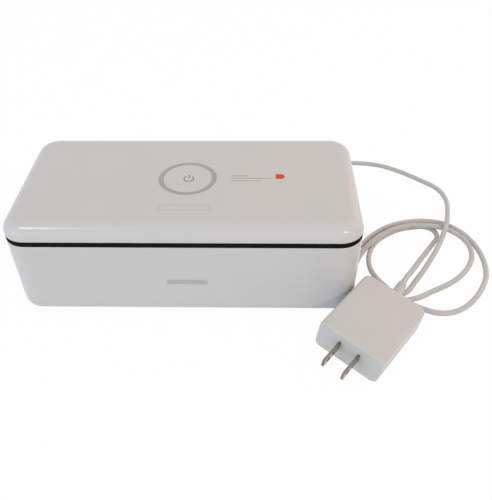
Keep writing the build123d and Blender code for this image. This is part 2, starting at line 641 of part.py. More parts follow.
# Mirror liner under the lid
def lid_liner():
    pan = slab(LINER_INSET, LINER_PANEL_Z, LINER_FLANGE_Z + FLANGE)
    pan = fillet(lowest_edges(pan), LINER_EDGE_RADIUS) + slab(RIM_INSET, LINER_FLANGE_Z, LID_LEDGE_Z)
    pan -= slab(LINER_INSET + LINER_WALL, LINER_PANEL_TOP, LID_LEDGE_Z + OVERCUT)
    pan -= station_notches(LINER_FLANGE_Z, LID_LEDGE_Z)
    half = LID_LAMP_PITCH / 2 + LID_BOARD_MARGIN
    for x in (-LID_LAMP_X, LID_LAMP_X):
        for side in (-1, 1):
            rail = (x + side * (LAMP_BOARD_WIDTH / 2 - LID_RAIL_INSET), 0)
            pan += centred_block(rail, (RAIL_WIDTH, 2 * half), (LINER_PANEL_TOP, LID_BOARD_Z))
    for place in LID_LAMP_PLACES:
        pan -= post(WINDOW_RADIUS + FIT, place, LINER_PANEL_Z, LINER_PANEL_Z + WINDOW_THICKNESS)
        pan -= post(WINDOW_OPENING, place, LINER_PANEL_Z, LINER_PANEL_TOP)
    for place in LID_SCREW_PLACES:
        pan += post(COLLAR_RADIUS, place, LINER_PANEL_TOP, LINER_PANEL_TOP + COLLAR_HEIGHT)
        pan -= post(LID_SCREW_HEAD_RADIUS + CLEARANCE, place, LINER_PANEL_Z, LINER_PANEL_TOP)
        pan -= post(LID_SCREW_RADIUS + CLEARANCE, place, LINER_PANEL_Z, LINER_PANEL_TOP + COLLAR_HEIGHT)
    return pan


# Button, its light ring and what they work on
def light_ring():
    step = RING_INNER + RING_LIP
    outer = RING_RADIUS + RING_FLANGE
    low = HEIGHT - RING_DEPTH
    profile = [(RING_INNER, HEIGHT), (RING_RADIUS, HEIGHT), (RING_RADIUS, CEILING), (outer, CEILING),
               (outer, low), (step, low), (step, CEILING), (RING_INNER, CEILING)]
    return Pos(BUTTON_X, BUTTON_Y, 0) * turned(profile)


def power_button():
    ledge_top = CEILING - BUTTON_GAP
    ledge_low = ledge_top - BUTTON_LEDGE
    ledge_radius = RING_INNER + RING_LIP - BUTTON_LEDGE_GAP
    skirt = BUTTON_RADIUS - BUTTON_SKIRT
    under = HEIGHT - BUTTON_TOP
    dish = HEIGHT - DISH_DEPTH
    profile = [(0, PLUNGER_TOP), (STEM_RADIUS, PLUNGER_TOP), (STEM_RADIUS, under), (skirt, under),
               (skirt, ledge_low), (ledge_radius, ledge_low), (ledge_radius, ledge_top),
               (BUTTON_RADIUS, ledge_top), (BUTTON_RADIUS, HEIGHT), (DISH_RADIUS, HEIGHT),
               (DISH_RADIUS - 2 * DISH_DEPTH, dish), (0, dish)]
    return Pos(BUTTON_X, BUTTON_Y, 0) * turned(profile)


def switch_plunger():
    return post(PLUNGER_RADIUS, (BUTTON_X, BUTTON_Y), PLUNGER_TOP - PLUNGER_LENGTH, PLUNGER_TOP)


def tact_switch():
    centre = (BUTTON_X, BUTTON_Y)
    low = CONTROL_Z + CONTROL_THICKNESS
    well_floor = PLUNGER_TOP - PLUNGER_LENGTH - BUTTON_TRAVEL - CLEARANCE
    body = centred_block(centre, (SWITCH_SIZE, SWITCH_SIZE), (low, SWITCH_TOP))
    return body - post(PLUNGER_RADIUS + CLEARANCE, centre, well_floor, SWITCH_TOP)


def control_board():
    centre = (BUTTON_X, BUTTON_Y)
    top = CONTROL_Z + CONTROL_THICKNESS
    board = centred_block(centre, (CONTROL_LENGTH, CONTROL_WIDTH), (CONTROL_Z, top))
    return board - [post(STAKE_RADIUS + CLEARANCE, place, CONTROL_Z, top) for place in control_places()]


def indicator_lamps():
    low = CONTROL_Z + CONTROL_THICKNESS
    size = (INDICATOR_SIZE, INDICATOR_SIZE)
    lamp = centred_block((INDICATOR_RADIUS, 0), size, (low, low + INDICATOR_HEIGHT))
    turns = [Rot(0, 0, 360 * i / INDICATOR_COUNT) for i in range(INDICATOR_COUNT)]
    return Compound([Pos(BUTTON_X, BUTTON_Y, 0) * turn * lamp for turn in turns])


# Inlet plug
def dc_plug():
    """Overmoulded grip with finger grooves and a tapered tail, turned about the plug's axis."""
    profile = [(0, 0), (PLUG_GRIP_RADIUS - PLUG_EDGE, 0), (PLUG_GRIP_RADIUS, PLUG_EDGE)]
    start = (PLUG_GRIP_LENGTH - (PLUG_GROOVE_COUNT - 1) * PLUG_GROOVE_PITCH - PLUG_GROOVE_WIDTH) / 2
    for i in range(PLUG_GROOVE_COUNT):
        low = start + i * PLUG_GROOVE_PITCH
        high = low + PLUG_GROOVE_WIDTH
        profile += [(PLUG_GRIP_RADIUS, low), (PLUG_GRIP_RADIUS - PLUG_GROOVE, low),
                    (PLUG_GRIP_RADIUS - PLUG_GROOVE, high), (PLUG_GRIP_RADIUS, high)]
    length = PLUG_GRIP_LENGTH + PLUG_TAIL_LENGTH
    profile += [(PLUG_GRIP_RADIUS, PLUG_GRIP_LENGTH), (PLUG_TAIL_RADIUS, length), (0, length)]
    return Pos(JACK_X, PLUG_FACE_Y, JACK_Z) * Rot(-90, 0, 0) * turned(profile)


def dc_plug_barrel():
    tube = Cylinder(PLUG_BARREL_RADIUS, PLUG_BARREL_LENGTH)
    tube -= Cylinder(PLUG_BARREL_BORE, PLUG_BARREL_LENGTH)
    return Pos(JACK_X, PLUG_FACE_Y - PLUG_BARREL_LENGTH / 2, JACK_Z) * Rot(90, 0, 0) * tube


# Mains adapter: its own X across, Y from the blade face to the lead, Z up from the table
def adapter_frame():
    """Axis of the rolled housing, which stands on its lower right edge and on a loop of the lead."""
    half_width = ADAPTER_WIDTH / 2 - ADAPTER_LOWER_EDGE
    half_height = ADAPTER_THICKNESS / 2 - ADAPTER_LOWER_EDGE
    roll = radians(ADAPTER_ROLL)
    axis_z = ADAPTER_LOWER_EDGE + half_width * sin(roll) + half_height * cos(roll)
    return Pos(*ADAPTER_PLACE, axis_z) * Rot(0, 0, ADAPTER_TURN) * Rot(0, ADAPTER_ROLL, 0)


def adapter_shell():
    """Rounded housing with two slots for the blades."""
    half = ADAPTER_THICKNESS / 2
    body = block((-ADAPTER_WIDTH / 2, ADAPTER_WIDTH / 2), (0, ADAPTER_LENGTH), (-half, half))
    body = fillet(body.edges().filter_by(Axis.Z).group_by(Axis.Y)[-1], ADAPTER_BACK_CORNER)
    upper = body.edges().group_by(Axis.Z)[-1]
    body = fillet(upper - upper.group_by(Axis.Y)[0], ADAPTER_UPPER_EDGE)
    lower = body.edges().group_by(Axis.Z)[0]
    body = fillet(lower - lower.group_by(Axis.Y)[0], ADAPTER_LOWER_EDGE)
    body = fillet(body.edges().group_by(Axis.Y)[0], ADAPTER_FRONT_EDGE)
    room = (BLADE_THICKNESS + 2 * FIT, 2 * (BLADE_ROOT + FIT))
    reach = BLADE_WIDTH / 2 + FIT
    slot = (BLADE_RISE - reach, BLADE_RISE + reach)
    body -= [centred_block((x, 0), room, slot) for x in (-BLADE_SPACING / 2, BLADE_SPACING / 2)]
    return adapter_frame() * body


def adapter_blade(side):
    """Flat contact blade with a chamfered tip and a round hole."""
    length = BLADE_ROOT + BLADE_LENGTH
    blade = Box(BLADE_THICKNESS, length, BLADE_WIDTH)
    tip = blade.faces().sort_by(Axis.Y)[0]
    blade = chamfer(tip.edges().filter_by(Axis.X), BLADE_TIP_CHAMFER)
    flat = blade.faces().sort_by(Axis.Y)[0]
    blade = chamfer(flat.edges().filter_by(Axis.Z), BLADE_EDGE_CHAMFER)
    hole = Rot(0, 90, 0) * Cylinder(BLADE_HOLE_RADIUS, BLADE_THICKNESS)
    hole = Pos(0, BLADE_HOLE_SETBACK - length / 2, 0) * hole
    place = Pos(side * BLADE_SPACING / 2, BLADE_ROOT - length / 2, BLADE_RISE)
    return adapter_frame() * place * (blade - hole)


def adapter_boot():
    """Tapered strain relief, leaning a little to one side, cut flush where it leaves the shell."""
    profile = [(0, -BOOT_COLLAR), (BOOT_ROOT_RADIUS, -BOOT_COLLAR), (BOOT_ROOT_RADIUS, BOOT_COLLAR),
               (BOOT_TIP_RADIUS, BOOT_LENGTH), (0, BOOT_LENGTH)]
    half = ADAPTER_THICKNESS / 2
    root = Pos(0, ADAPTER_LENGTH, 0)
    boot = root * Rot(0, 0, BOOT_LEAN) * Rot(-90, 0, 0) * turned(profile)
    inside = block((-ADAPTER_WIDTH, ADAPTER_WIDTH), (0, ADAPTER_LENGTH), (-half, half))
    return adapter_frame() * (boot - inside)


# Lead
def cord_radii():
    """Largest arc that the two runs at each corner allow."""
    points = [Vector(*point) for point in CORD_POINTS]
    radii = []
    for before, corner, after in zip(points, points[1:], points[2:]):
        first = corner - before
        second = after - corner
        turn = radians(first.get_angle(second))
        radii.append(RUN_SHARE * min(first.length, second.length) / tan(turn / 2))
    return radii


def power_cord():
    radii = cord_radii()
    path = FilletPolyline(*CORD_POINTS, radius=radii)
    start = Plane(origin=path @ 0, z_dir=path % 0)
    cord = sweep(start * Circle(CORD_DIAMETER / 2), path=path)
    expected = pi * CORD_DIAMETER ** 2 / 4 * path.length
    print("cord radii", [round(radius, 1) for radius in radii])
    print(f"cord length {path.length:.1f}, volume {cord.volume:.1f}, section x length {expected:.1f}")
    return cord


def numbered(name, places, make):
    """One node for each place, numbered from 1."""
    return {f"{name}_{i}": make(place) for i, place in enumerate(places, 1)}


base_seal_top = SEAM_Z - SEAL_GAP / 2
lid_seal_low = SEAM_Z + SEAL_GAP / 2
lid_magnet_low = LINER_FLANGE_Z - MAGNET_THICKNESS

nodes = {
    "base_shell": base_shell(),
    "base_seal_frame": seal_frame(TRAY_TOP, base_seal_top, TRAY_TOP,
                                  TRAY_TOP + MAGNET_THICKNESS + CLEARANCE, (-MAGNET_X, MAGNET_X)),
    "base_magnet_left": magnet(-MAGNET_X, TRAY_TOP),
    "base_magnet_right": magnet(MAGNET_X, TRAY_TOP),
    "mirror_tray": tray(),
    "base_lamp_board": base_lamp_board(),
    "item_rack": item_rack(),
    "driver_board": driver_board(),
    "inductor": inductor(),
    "capacitor": capacitor(),
    "driver_chip": driver_chip(),
    "sensor_board": sensor_board(),
    "power_jack": power_jack(),
    "hinge_pin_left": hinge_pin(-HINGE_X),
    "hinge_pin_right": hinge_pin(HINGE_X),
    "lid_shell": lid_shell(),
    "lid_seal_frame": seal_frame(lid_seal_low, LINER_FLANGE_Z, lid_magnet_low - CLEARANCE, LINER_FLANGE_Z,
                                 (-MAGNET_X, 0, MAGNET_X)),
    "lid_magnet_left": magnet(-MAGNET_X, lid_magnet_low),
    "lid_magnet_right": magnet(MAGNET_X, lid_magnet_low),
    "sensor_magnet": magnet(0, lid_magnet_low),
    "lid_liner": lid_liner(),
    "lid_lamp_board_left": lid_lamp_board(-LID_LAMP_X),
    "lid_lamp_board_right": lid_lamp_board(LID_LAMP_X),
    "light_ring": light_ring(),
    "power_button": power_button(),
    "switch_plunger": switch_plunger(),
    "tact_switch": tact_switch(),
    "control_board": control_board(),
    "indicator_lamps": indicator_lamps(),
    "dc_plug": dc_plug(),
    "dc_plug_barrel": dc_plug_barrel(),
    "power_cord": power_cord(),
    "adapter_shell": adapter_shell(),
    "adapter_blade_left": adapter_blade(-1),
    "adapter_blade_right": adapter_blade(1),
    "adapter_boot": adapter_boot(),
}
nodes |= numbered("rubber_foot", FOOT_PLACES, rubber_foot)
nodes |= numbered("base_screw", FOOT_PLACES, base_screw)
nodes |= numbered("base_window", BASE_LAMP_PLACES, base_window)
nodes |= numbered("lid_screw", LID_SCREW_PLACES, lid_screw)
nodes |= numbered("lid_window", LID_LAMP_PLACES, lid_window)

for name, shape in nodes.items():
    export_step(shape, f"parts/{name}.step")
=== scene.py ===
import bpy
import numpy as np
from mathutils import Matrix, Vector


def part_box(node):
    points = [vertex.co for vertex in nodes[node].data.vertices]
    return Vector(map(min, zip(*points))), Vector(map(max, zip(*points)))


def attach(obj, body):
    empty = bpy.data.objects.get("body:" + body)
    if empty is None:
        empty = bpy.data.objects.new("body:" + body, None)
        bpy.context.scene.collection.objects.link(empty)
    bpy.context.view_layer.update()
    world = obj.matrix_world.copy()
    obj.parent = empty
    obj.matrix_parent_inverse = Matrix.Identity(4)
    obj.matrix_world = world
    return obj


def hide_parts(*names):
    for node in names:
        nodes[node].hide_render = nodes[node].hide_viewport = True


# Tabletop sterilizing box for a phone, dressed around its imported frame.
# Metres, in the frame's own axes: +X right, +Y back, +Z up from the table. The sizes of pieces
# are millimetres, times MM where they are used.
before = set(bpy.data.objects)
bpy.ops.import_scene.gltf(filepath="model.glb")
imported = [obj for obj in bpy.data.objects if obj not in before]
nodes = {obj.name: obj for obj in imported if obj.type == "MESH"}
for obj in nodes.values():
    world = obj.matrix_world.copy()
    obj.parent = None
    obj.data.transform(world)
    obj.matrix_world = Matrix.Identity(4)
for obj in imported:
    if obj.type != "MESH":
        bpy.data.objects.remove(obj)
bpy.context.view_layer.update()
MM = 0.001


# Camera: held above the table, a little right of the box's middle, looking down at it.
# Its place, heading, tilt, lean and focal length are fitted values.
CAMERA_PLACE = (0.046152, -0.331292, 0.288292)
CAMERA_YAW = -0.03245
CAMERA_PITCH = 0.69540
CAMERA_ROLL = -0.01636
FOCAL_PIXELS = 637.51
FRAME_HEIGHT = 500
SENSOR = 36.0
NEAREST = 0.01


def camera_axes(yaw, pitch, roll):
    """Right, up and backward axes of a camera turned by yaw, tipped down by pitch and leaned by roll."""
    forward = np.array([np.sin(yaw) * np.cos(pitch), np.cos(yaw) * np.cos(pitch), -np.sin(pitch)])
    level = np.array([np.cos(yaw), -np.sin(yaw), 0.0])
    upright = np.cross(level, forward)
    right = np.cos(roll) * level + np.sin(roll) * upright
    up = np.cos(roll) * upright - np.sin(roll) * level
    return np.stack([right, up, -forward], axis=1)


lens = bpy.data.cameras.new("camera")
lens.sensor_width = SENSOR
lens.lens = FOCAL_PIXELS * SENSOR / FRAME_HEIGHT
lens.clip_start = NEAREST
camera = bpy.data.objects.new("camera", lens)
turn = Matrix(camera_axes(CAMERA_YAW, CAMERA_PITCH, CAMERA_ROLL).tolist()).to_4x4()
camera.matrix_world = Matrix.Translation(CAMERA_PLACE) @ turn
bpy.context.scene.collection.objects.link(camera)
bpy.context.scene.camera = camera


# Housing: base, lid and button are injection-moulded ABS, warm light grey, with the satin gloss of
# a finely honed tool. The skin's grain is a third of a millimetre wide and half a micron deep, so
# it just softens each highlight, and slow flow waves vary tone and gloss over centimetres.
ABS = "#D3D0CF"
ABS_FLOW = "#D0CECD"


def linear(code):
    """sRGB hex colour as the linear RGBA that a shader takes."""
    value = np.array([int(code[i:i + 2], 16) for i in (1, 3, 5)]) / 255
    value = np.where(value <= 0.04045, value / 12.92, ((value + 0.055) / 1.055) ** 2.4)
    return (*value.tolist(), 1.0)


def add(tree, kind, inputs=None, **settings):
    """Adds a shader node; inputs are its sockets' values, or the sockets that feed them."""
    node = tree.nodes.new("ShaderNode" + kind)
    for name, value in settings.items():
        setattr(node, name, value)
    for name, value in (inputs or {}).items():
        if isinstance(value, bpy.types.NodeSocket):
            tree.links.new(value, node.inputs[name])
        else:
            node.inputs[name].default_value = value
    return node


def finish(name, surface, **constants):
    """Material with one Principled surface; surface(tree, position) gives what feeds its sockets."""
    material = bpy.data.materials.new(name)
    material.use_nodes = True
    tree = material.node_tree
    shader = tree.nodes["Principled BSDF"]
    position = add(tree, "TexCoord").outputs["Object"]
    for socket, value in constants.items():
        shader.inputs[socket.replace("_", " ")].default_value = value
    for socket, source in surface(tree, position).items():
        tree.links.new(source, shader.inputs[socket.replace("_", " ")])
    return material


def grain(tree, position, size, stretch=(1.0, 1.0, 1.0)):
    """Noise with cells of about `size` millimetres, drawn out along each axis by `stretch`."""
    scaled = add(tree, "Mapping", {"Vector": position, "Scale": tuple(1 / s for s in stretch)})
    noise = add(tree, "TexNoise", {"Vector": scaled.outputs[0], "Scale": 1 / (size * MM)})
    return noise.outputs["Fac"]


def spread(tree, pattern, low, high, start=0.2, end=0.8):
    """Pattern from start to end, eased onto low to high."""
    sockets = {"Value": pattern, "From Min": start, "From Max": end, "To Min": low, "To Max": high}
    return add(tree, "MapRange", sockets, interpolation_type="SMOOTHSTEP").outputs[0]


def blended(tree, factor, first, second):
    """Mix of two colours, each an sRGB hex value or a socket, by a factor from 0 to 1."""
    first, second = (linear(c) if isinstance(c, str) else c for c in (first, second))
    return add(tree, "Mix", {0: factor, 6: first, 7: second}, data_type="RGBA").outputs[2]


def relief(tree, height, depth):
    """Normal of a height pattern that is `depth` millimetres deep."""
    return add(tree, "Bump", {"Height": height, "Distance": depth * MM}).outputs[0]


def moulded(name, main, flow, roughness, size, depth, wave, **constants):
    """Moulded plastic or rubber: fine tool grain, slow flow tone and slow gloss changes."""
    def surface(tree, position):
        tone = spread(tree, grain(tree, position, wave), 0.0, 1.0)
        return {"Base_Color": blended(tree, tone, main, flow),
                "Roughness": spread(tree, grain(tree, position, wave / 3), *roughness),
                "Normal": relief(tree, grain(tree, position, size), depth)}
    return finish(name, surface, **constants)


def dress(material, *names):
    """Gives CAD nodes a material in place of their plain one."""
    for name in names:
        nodes[name].data.materials.clear()
        nodes[name].data.materials.append(material)


def numbered(name):
    """Names of four like nodes, name_1 to name_4."""
    return [f"{name}_{i}" for i in (1, 2, 3, 4)]


satin_abs = moulded("moulded satin ABS", ABS, ABS_FLOW, (0.18, 0.22), 0.35, 0.0005, 45.0)
dress(satin_abs, "base_shell", "lid_shell", "power_button")


# Feet: four discs of moulded silicone rubber, mid grey and matt, pressed into round recesses over
# the base screws. The rubber has a 0.6 mm eggshell skin that picks up a little dust.
dress(moulded("moulded silicone rubber", "#8E8C8A", "#989694", (0.62, 0.74), 0.6, 0.02, 6.0),
      *numbered("rubber_foot"))


# Screws, pins and magnets: zinc-plated steel screws, ground stainless hinge pins drawn along
# their length, and nickel-plated magnets. Plating shows 2 mm clouds; drawing shows fine streaks.
def plated(name, bright, dull, roughness, cloud, stretch=(1.0, 1.0, 1.0), depth=0.002, **constants):
    """Plated or drawn metal: clouds of tone with streaks along its stretch."""
    def surface(tree, position):
        streak = grain(tree, position, cloud, stretch)
        return {"Base_Color": blended(tree, spread(tree, streak, 0.0, 1.0), bright, dull),
                "Roughness": spread(tree, streak, *roughness),
                "Normal": relief(tree, streak, depth)}
    return finish(name, surface, Metallic=1.0, **constants)


zinc = plated("zinc plated steel", "#C6C8CC", "#AEB2B6", (0.25, 0.38), 2.0)
dress(zinc, *numbered("base_screw"), *numbered("lid_screw"))
dress(plated("ground stainless steel", "#C4C3C1", "#B0AFAE", (0.18, 0.3), 0.3, (20.0, 1.0, 1.0)),
      "hinge_pin_left", "hinge_pin_right")
dress(plated("nickel plated magnet", "#BDB9B2", "#ACA8A1", (0.15, 0.25), 1.5),
      "base_magnet_left", "base_magnet_right", "lid_magnet_left", "lid_magnet_right", "sensor_magnet")


# Circuit boards: the lamp boards are white-masked aluminium strips with ceramic lamps soldered
# on; the driver, sensor and control boards are green-masked glass-epoxy. Brick-laid lines stand
# for the copper tracks under the mask, 0.25 mm wide on a 1.8 mm pitch.
TRACK_PITCH = 1.8
TRACK_RUN = 7.0
TRACK_EDGE = 0.12
TRACK_DEPTH = 0.03
LAMP_HEIGHT = 1.2
LAMP_EDGE = 0.05


def circuit(name, mask, track, lamp_face=None):
    """Masked board; where lamp_face = (height, way) is given, what stands past it is lamp ceramic."""
    def surface(tree, position):
        axes = add(tree, "SeparateXYZ", {0: position}).outputs
        rise = add(tree, "Math", {0: axes[1], 1: axes[2]}).outputs[0]
        level = add(tree, "CombineXYZ", {0: axes[0], 1: rise}).outputs[0]
        bricks = {"Vector": level, "Scale": 1 / MM, "Mortar Size": TRACK_EDGE, "Mortar Smooth": 0.2,
                  "Brick Width": TRACK_RUN, "Row Height": TRACK_PITCH}
        tracks = add(tree, "TexBrick", bricks).outputs["Fac"]
        colour = blended(tree, tracks, mask, track)
        if lamp_face:
            height, way = lamp_face
            past = add(tree, "Math", {0: axes[2], 1: height}, operation="SUBTRACT").outputs[0]
            ceramic = spread(tree, past, 0.0, 1.0, 0.0, way * LAMP_EDGE * MM)
            colour = blended(tree, ceramic, colour, "#E9E2C8")
        return {"Base_Color": colour, "Roughness": spread(tree, grain(tree, position, 3.0), 0.3, 0.42),
                "Normal": relief(tree, tracks, TRACK_DEPTH)}
    return finish(name, surface)


base_lamp_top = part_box("base_lamp_board")[1].z
lid_lamp_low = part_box("lid_lamp_board_left")[0].z
dress(circuit("white masked board, base", "#E4E6E4", "#D2D6D4", (base_lamp_top - LAMP_HEIGHT * MM, 1)),
      "base_lamp_board")
dress(circuit("white masked board, lid", "#E4E6E4", "#D2D6D4", (lid_lamp_low + LAMP_HEIGHT * MM, -1)),
      "lid_lamp_board_left", "lid_lamp_board_right")
dress(circuit("green masked board", "#1E5A3C", "#2F7350"), "driver_board", "sensor_board", "control_board")
dress(moulded("ferrite and epoxy", "#2A2928", "#353331", (0.45, 0.6), 0.25, 0.02, 3.0),
      "inductor", "driver_chip", "tact_switch")
dress(plated("etched aluminium can", "#C3C5C6", "#B4B6B8", (0.3, 0.42), 0.5), "capacitor")
dress(moulded("indicator lamp housing", "#EFEBDD", "#E6DFC6", (0.2, 0.3), 0.2, 0.005, 1.5),
      "indicator_lamps")
dress(moulded("acetal plunger", "#DCDAD4", "#D2D0CA", (0.28, 0.36), 0.3, 0.003, 4.0), "switch_plunger")


# Inlet: the jack is black PBT with a nickelled pin in its bore; its plug is overmoulded in the
# lead's own grey elastomer round a nickelled brass barrel. Within PIN_RADIUS of the jack's axis
# the material is the pin's metal.
JACK_AXIS = (72.0, 18.0)
PIN_RADIUS = 1.2
PIN_EDGE = 0.02


def jack_surface(tree, position):
    """Distance from the jack's axis decides between pin metal and black plastic."""
    axes = add(tree, "SeparateXYZ", {0: position}).outputs
    flat = add(tree, "CombineXYZ", {0: axes[0], 2: axes[2]}).outputs[0]
    centre = (JACK_AXIS[0] * MM, 0.0, JACK_AXIS[1] * MM)
    reach = add(tree, "VectorMath", {0: flat, 1: centre}, operation="DISTANCE").outputs["Value"]
    pin = spread(tree, reach, 1.0, 0.0, PIN_RADIUS * MM, (PIN_RADIUS + PIN_EDGE) * MM)
    fine = grain(tree, position, 0.3)
    return {"Base_Color": blended(tree, pin, "#1B1B1C", "#C9C5BC"), "Metallic": pin,
            "Roughness": spread(tree, fine, 0.35, 0.5), "Normal": relief(tree, fine, 0.004)}


dress(finish("black PBT with nickelled pin", jack_surface), "power_jack")
overmould = moulded("moulded elastomer", "#CCC9C6", "#C6C3C0", (0.38, 0.48), 0.4, 0.006, 20.0)
dress(overmould, "dc_plug", "adapter_boot")
dress(plated("nickel plated brass", "#C2BCB0", "#B3ADA1", (0.16, 0.28), 0.6), "dc_plug_barrel")


# Mirror tray and lid liner: ABS with a vacuum-metallised face that throws the lamps' light onto
# the phone. The bright skin follows the moulding, with an orange-peel wave 6 mm long.
def mirror_surface(tree, position):
    """Bright metal with long shallow waves and a faint bloom."""
    wave = grain(tree, position, 6.0)
    bloom = grain(tree, position, 25.0)
    return {"Base_Color": blended(tree, spread(tree, bloom, 0.0, 1.0), "#DDDFE1", "#D3D6D9"),
            "Roughness": spread(tree, bloom, 0.05, 0.12), "Normal": relief(tree, wave, 0.012)}


dress(finish("vacuum metallised ABS", mirror_surface, Metallic=1.0), "mirror_tray", "lid_liner")


# Lamp windows: 10 mm discs of fused quartz, which passes the short ultraviolet that glass stops.
# They are flame-polished, clear, and show slight ripples 2 mm long.
def quartz_surface(tree, position):
    """Clear solid with faint ripples."""
    ripple = grain(tree, position, 2.0)
    return {"Base_Color": blended(tree, spread(tree, ripple, 0.0, 1.0), "#F4F3FA", "#ECEAF6"),
            "Roughness": spread(tree, ripple, 0.02, 0.06), "Normal": relief(tree, ripple, 0.004)}


dress(finish("fused quartz", quartz_surface, IOR=1.46, Transmission_Weight=1.0),
      *numbered("base_window"), *numbered("lid_window"))


# Phone rack: spot-welded steel wires, 2.5 mm round the rim and 2 mm across, bright chromed. The
# plating is smooth, with a little burr and bloom at the welds.
dress(plated("chromed steel wire", "#D3D5D8", "#C2C5C9", (0.08, 0.18), 3.0, depth=0.004), "item_rack")


# Seam seals: two frames of closed-cell EPDM foam, soot black, glued under the lid and round the
# chamber's mouth, with a skinned lip on each that swells over the rim until it fills the seam.
# Cut cells 0.4 mm wide make the faces faintly pitted, and their pores swallow nearly all gloss.
SEAM_LEVEL = 58.0
SEAL_HALF_LENGTH = 105.0
SEAL_HALF_DEPTH = 52.0
SEAL_CORNER = 14.3
LIP_END = 36.0
LIP_PARTING = 0.05
LIP_SEAT = 1.55
BASE_LIP_REACH = 1.7
LID_LIP_REACH = 1.6
LIP_FACE = 0.04
LIP_SWELL = 0.3
LIP_ROOT = 1.8
RIM_ROUNDING = 0.8
FOAM_CELL = 0.4


def foam_surface(tree, position):
    """Pits where a cell pattern is low."""
    cells = add(tree, "TexVoronoi", {"Vector": position, "Scale": 1 / (FOAM_CELL * MM)}).outputs["Distance"]
    slow = grain(tree, position, 9.0)
    return {"Base_Color": blended(tree, spread(tree, slow, 0.0, 1.0), "#0B0A0A", "#100F0F"),
            "Roughness": spread(tree, slow, 0.75, 0.85), "Normal": relief(tree, cells, 0.02)}


def made(name, points, faces, material, body):
    """One piece from points in metres and faces, riding on a body."""
    mesh = bpy.data.meshes.new(name)
    mesh.from_pydata(np.asarray(points).tolist(), [], faces)
    mesh.materials.append(material)
    piece = bpy.data.objects.new(name, mesh)
    bpy.context.scene.collection.objects.link(piece)
    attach(piece, body)


def seal_way():
    """Places and outward angles along the right end, the front and the left end of the box's plan."""
    turn = np.linspace(0, np.pi / 2, 13)
    way = [[(SEAL_HALF_LENGTH, LIP_END, 0.0)]]
    for side, angle in ((1, -turn), (-1, -np.pi / 2 - turn)):
        across = side * (SEAL_HALF_LENGTH - SEAL_CORNER) + SEAL_CORNER * np.cos(angle)
        back = SEAL_CORNER - SEAL_HALF_DEPTH + SEAL_CORNER * np.sin(angle)
        way.append(np.column_stack([across, back, angle]))
    way.append([(-SEAL_HALF_LENGTH, LIP_END, -np.pi)])
    return np.concatenate(way)


def seal_lip(name, side, reach, body):
    """Closed section carried along seal_way, above the seam for side 1 and below it for side -1. Its
    face is half an ellipse from the rim's edge, `reach` millimetres off the seam's middle, to the
    parting, with its middle LIP_FACE inside the wall's plane, and its root lies in the foam frame."""
    parting, seat, edge = (SEAM_LEVEL + side * step for step in (LIP_PARTING, LIP_SEAT, reach))
    sweep = np.linspace(-np.pi / 2, np.pi / 2, 11)
    level = (edge + parting) / 2 + (parting - edge) / 2 * np.sin(sweep)
    face = np.column_stack([LIP_FACE + LIP_SWELL * (1 - np.cos(sweep)), level])
    section = np.concatenate([face, [(LIP_ROOT, parting), (LIP_ROOT, seat), (RIM_ROUNDING, seat)]])
    if side < 0:
        section = section[::-1]
    way = seal_way()
    out = np.column_stack([np.cos(way[:, 2]), np.sin(way[:, 2])])
    flat = way[:, None, :2] - section[None, :, :1] * out[:, None]
    level = np.broadcast_to(section[:, 1, None], (*flat.shape[:2], 1))
    points = np.concatenate([flat, level], axis=2).reshape(-1, 3) * MM
    count = len(section)
    here = np.arange(len(points)).reshape(len(way), count)
    after = np.roll(here, -1, axis=1)
    walls = np.stack([here[:-1], here[1:], after[1:], after[:-1]], axis=2).reshape(-1, 4)
    faces = walls.tolist() + [here[0].tolist(), here[-1, ::-1].tolist()]
    made(name, points, faces, foam, body)


foam = finish("closed cell EPDM foam", foam_surface, Specular_IOR_Level=0.12)
dress(foam, "base_seal_frame", "lid_seal_frame")
seal_lip("base_seal_lip", -1, BASE_LIP_REACH, "base")
seal_lip("lid_seal_lip", 1, LID_LIP_REACH, "lid")


# Light ring: a moulded polycarbonate light guide round the button, smoked silver-grey, flat and
# about as smooth as the lid. Light from the lamps below scatters in it, so it has a slight depth.
dress(moulded("smoked polycarbonate", "#A5A8AA", "#A0A3A6", (0.2, 0.27), 0.5, 0.002, 12.0,
              Subsurface_Weight=0.15, Subsurface_Scale=0.001, Coat_Weight=0.3), "light_ring")


# Pad prints, of ink 0.03 mm thick: a power sign in the button's dish, a pale frame and three
# hairlines on the lid with an orange tag, and a grey bar on the front wall. Each is drawn in
# millimetres from the lid's middle, and the bar from the seam down the wall.
INK = 0.03
SAME_POINT = 0.000001
DISH_DEPTH = 0.25
LID_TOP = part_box("lid_shell")[1].z
BUTTON_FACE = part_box("power_button")[1].z - DISH_DEPTH * MM
WALL_DRAFT = np.radians(1.15)
SIGN_CENTRE = (0.6, -0.1)
SIGN_RADIUS = 2.95
SIGN_GAP = 76.0
SIGN_LINE = 0.6
SIGN_BAR = [(0.6, 0.7), (0.6, 3.8)]
TAG = [(54.5, -0.6), (58.0, -0.6), (59.0, -0.2), (59.8, 0.7), (60.3, 2.1), (59.8, 3.5), (59.0, 4.4),
       (58.0, 4.8), (54.5, 4.8)]
HAIRLINES = [(27.4, 37.2, 2.7, 0.7), (27.1, 52.1, 0.0, 0.45), (27.1, 45.6, -2.8, 0.45)]
FRAME_EDGES = np.array([-14.4, -33.2, 15.6, -28.2])
FRAME_CORNER = 0.5
FRAME_LINE = 0.25
BAR_EDGES = (-10.6, -30.4, 13.8, -26.8)
BAR_CORNER = 0.3


